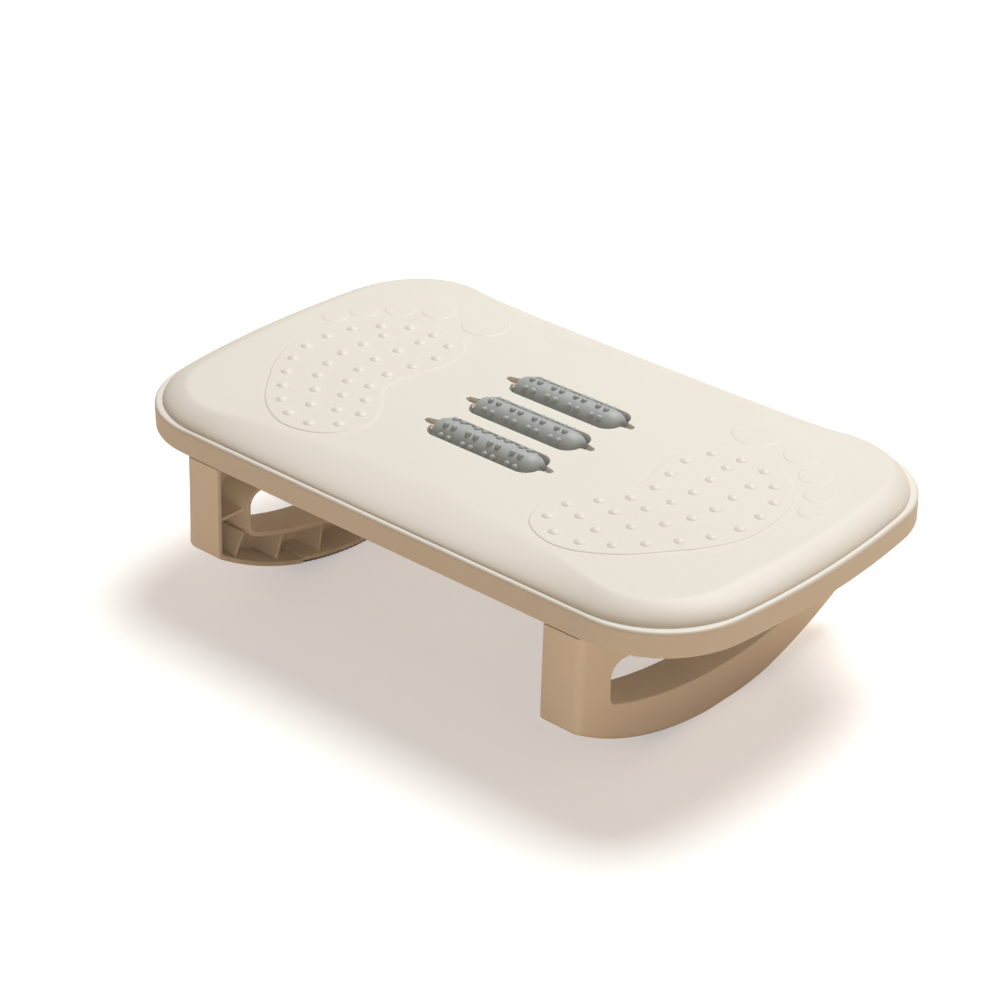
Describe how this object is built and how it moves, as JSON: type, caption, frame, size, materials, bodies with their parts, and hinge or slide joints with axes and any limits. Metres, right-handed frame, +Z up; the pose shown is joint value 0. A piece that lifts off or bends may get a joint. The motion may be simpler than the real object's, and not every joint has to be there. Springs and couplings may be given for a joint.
{
  "type": "tilting under desk footrest",
  "caption": "Moulded footrest board on two curved rocker legs, with massage domes in two foot shapes and free turning nubbed rollers set in slots between them",
  "frame": {"origin": "Centre of the footprint on the floor, directly under the middle of the board.", "axes": "+X runs along the length of the board to the right foot's side, +Y points away from the user towards the toes, +Z is up."},
  "size_m": [0.453, 0.2656, 0.1344],
  "materials": {
    "board_plastic": "warm cream plastic, satin",
    "leg_plastic": "warm cream plastic, satin",
    "axle_plastic": "warm cream plastic, satin",
    "roller_plastic": "mid grey, slightly rubbery satin",
    "strip_rubber": "dark grey anti-slip rubber, matt",
    "screw_steel": "plain zinc plated steel"
  },
  "bodies": {
    "frame": {"footboard": "board_plastic", "left_leg": "leg_plastic", "right_leg": "leg_plastic", "left_sole_strip": "strip_rubber", "right_sole_strip": "strip_rubber", "near_axle": "axle_plastic", "middle_axle": "axle_plastic", "far_axle": "axle_plastic", "left_leg_screw_1": "screw_steel", "left_leg_screw_2": "screw_steel", "left_leg_screw_3": "screw_steel", "left_leg_screw_4": "screw_steel", "right_leg_screw_1": "screw_steel", "right_leg_screw_2": "screw_steel", "right_leg_screw_3": "screw_steel", "right_leg_screw_4": "screw_steel"},
    "near_roller": {"near_roller": "roller_plastic", "near_roller_left_cap": "roller_plastic", "near_roller_right_cap": "roller_plastic"},
    "middle_roller": {"middle_roller": "roller_plastic", "middle_roller_left_cap": "roller_plastic", "middle_roller_right_cap": "roller_plastic"},
    "far_roller": {"far_roller": "roller_plastic", "far_roller_left_cap": "roller_plastic", "far_roller_right_cap": "roller_plastic"}
  },
  "joints": [
    {"name": "near_roller_spin", "type": "hinge", "parent": "frame", "child": "near_roller", "pos_m": [0, -0.03345, 0.1227], "axis": [1, 0, 0], "continuous": true},
    {"name": "middle_roller_spin", "type": "hinge", "parent": "frame", "child": "middle_roller", "pos_m": [0, 0.003, 0.1227], "axis": [1, 0, 0], "continuous": true},
    {"name": "far_roller_spin", "type": "hinge", "parent": "frame", "child": "far_roller", "pos_m": [0, 0.03945, 0.1227], "axis": [1, 0, 0], "continuous": true}
  ]
}
